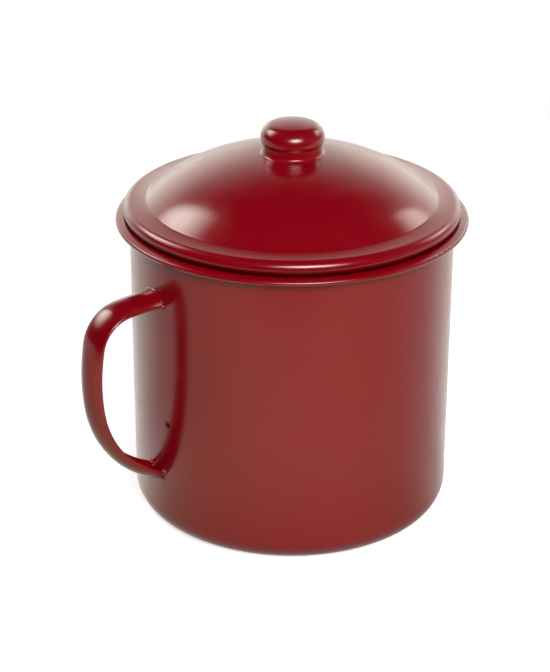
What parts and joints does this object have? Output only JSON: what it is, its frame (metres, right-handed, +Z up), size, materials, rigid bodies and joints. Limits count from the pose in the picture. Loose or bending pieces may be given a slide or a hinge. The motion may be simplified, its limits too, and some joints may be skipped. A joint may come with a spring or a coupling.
{
  "type": "lidded metal mug canister",
  "caption": "Straight-sided red enamelled steel cup with a turned-out lip, a welded strap handle and a loose domed lid with a round knob, for drinks or dry food.",
  "frame": {"origin": "centre of the base, in the plane of the standing ring that the cup rests on", "axes": "+Z up along the cup's axis, handle along -X, so the handle lies in the XZ plane"},
  "size_m": [0.1547, 0.1302, 0.1503],
  "materials": {
    "red_enamel": "satin gloss enamel on steel sheet"
  },
  "bodies": {
    "cup": {"cup_shell": "red_enamel", "handle_strap": "red_enamel", "upper_handle_weld": "red_enamel", "lower_handle_weld": "red_enamel"},
    "lid": {"lid_shell": "red_enamel", "knob_shell": "red_enamel", "knob_weld_ring": "red_enamel"}
  },
  "joints": [
    {"name": "lid_lift", "type": "slide", "parent": "cup", "child": "lid", "axis": [0, 0, 1], "range_m": [0, 0.16]}
  ]
}
